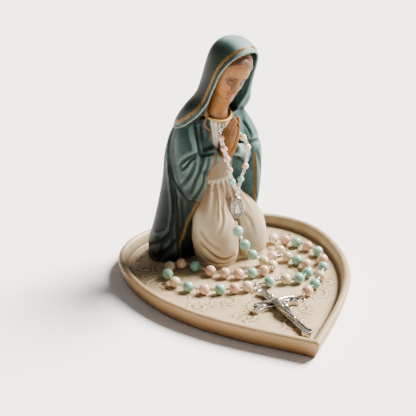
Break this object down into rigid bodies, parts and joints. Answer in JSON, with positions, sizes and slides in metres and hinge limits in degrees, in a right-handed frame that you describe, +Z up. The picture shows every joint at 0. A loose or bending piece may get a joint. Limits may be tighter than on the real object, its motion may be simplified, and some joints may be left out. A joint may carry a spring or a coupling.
{
  "type": "kneeling madonna statue with rosary tray",
  "caption": "Kneeling praying woman in a veil and mantle on a heart-shaped tray, with a bead rosary round the hands and in the tray.",
  "frame": {"origin": "centre of the bounding box, on the flat underside of the tray", "axes": "+Z up, the heart's point and the figure's face towards -Y, +X to the right as seen from the front"},
  "size_m": [0.0866, 0.1096, 0.095],
  "materials": {
    "ivory_resin": "matt cast resin with a brown wash low on the wall",
    "cream_paint": "matt painted resin",
    "teal_paint": "matt painted resin with a dark wash in the folds",
    "veil_teal_paint": "matt painted resin",
    "skin_paint": "satin painted resin",
    "auburn_paint": "painted resin",
    "gold_paint": "gold paint on resin",
    "antique_silver": "cast and plated, darkened in the recesses",
    "mint_pearl": "pearl lacquer",
    "pink_pearl": "pearl lacquer",
    "cream_pearl": "pearl lacquer"
  },
  "bodies": {
    "statue": {"collar": "gold_paint", "gown_bodice": "cream_paint", "gown_skirt": "cream_paint", "hair": "auburn_paint", "hair_lock": "auburn_paint", "hand_left": "skin_paint", "hand_right": "skin_paint", "head": "skin_paint", "heart_tray": "ivory_resin", "mantle": "teal_paint", "sleeve_left": "teal_paint", "sleeve_right": "teal_paint", "veil": "veil_teal_paint"},
    "rosary": {"bead_01_mint": "mint_pearl", "bead_02_mint": "mint_pearl", "bead_03_mint": "mint_pearl", "bead_04_cream": "cream_pearl", "bead_05_cream": "cream_pearl", "bead_06_pink": "pink_pearl", "bead_07_mint": "mint_pearl", "bead_08_pink": "pink_pearl", "bead_09_pink": "pink_pearl", "bead_10_pink": "pink_pearl", "bead_11_mint": "mint_pearl", "bead_12_pink": "pink_pearl", "bead_13_cream": "cream_pearl", "bead_14_mint": "mint_pearl", "bead_15_cream": "cream_pearl", "bead_16_mint": "mint_pearl", "bead_17_pink": "pink_pearl", "bead_18_mint": "mint_pearl", "bead_19_pink": "pink_pearl", "bead_20_cream": "cream_pearl", "bead_21_mint": "mint_pearl", "bead_22_cream": "cream_pearl", "bead_23_mint": "mint_pearl", "bead_24_mint": "mint_pearl", "bead_25_pink": "pink_pearl", "bead_26_mint": "mint_pearl", "bead_27_cream": "cream_pearl", "bead_28_pink": "pink_pearl", "bead_29_cream": "cream_pearl", "bead_30_cream": "cream_pearl", "bead_31_pink": "pink_pearl", "bead_32_mint": "mint_pearl", "bead_33_pink": "pink_pearl", "bead_34_mint": "mint_pearl", "bead_35_pink": "pink_pearl", "bead_36_mint": "mint_pearl", "bead_37_pink": "pink_pearl", "bead_38_mint": "mint_pearl", "bead_39_pink": "pink_pearl", "hand_loop": "pink_pearl", "loop_connector": "antique_silver", "medal": "antique_silver", "strand_chain": "antique_silver", "strand_end_ring": "antique_silver"},
    "crucifix_link": {"crucifix_ring": "antique_silver"},
    "crucifix": {"cross": "antique_silver", "corpus": "antique_silver"}
  },
  "joints": [
    {"name": "rosary_slip", "type": "slide", "parent": "statue", "child": "rosary", "axis": [0.1147, -0.3529, 0.9286], "range_m": [0, 0.01]},
    {"name": "crucifix_link_swing", "type": "hinge", "parent": "rosary", "child": "crucifix_link", "pos_m": [-0.0003, -0.0035, 0.00522], "axis": [-1, 0, 0], "range_deg": [0, 70]},
    {"name": "crucifix_swing", "type": "hinge", "parent": "crucifix_link", "child": "crucifix", "pos_m": [-0.0003, -0.00534, 0.00435], "axis": [-1, 0, 0], "range_deg": [0, 20]}
  ]
}
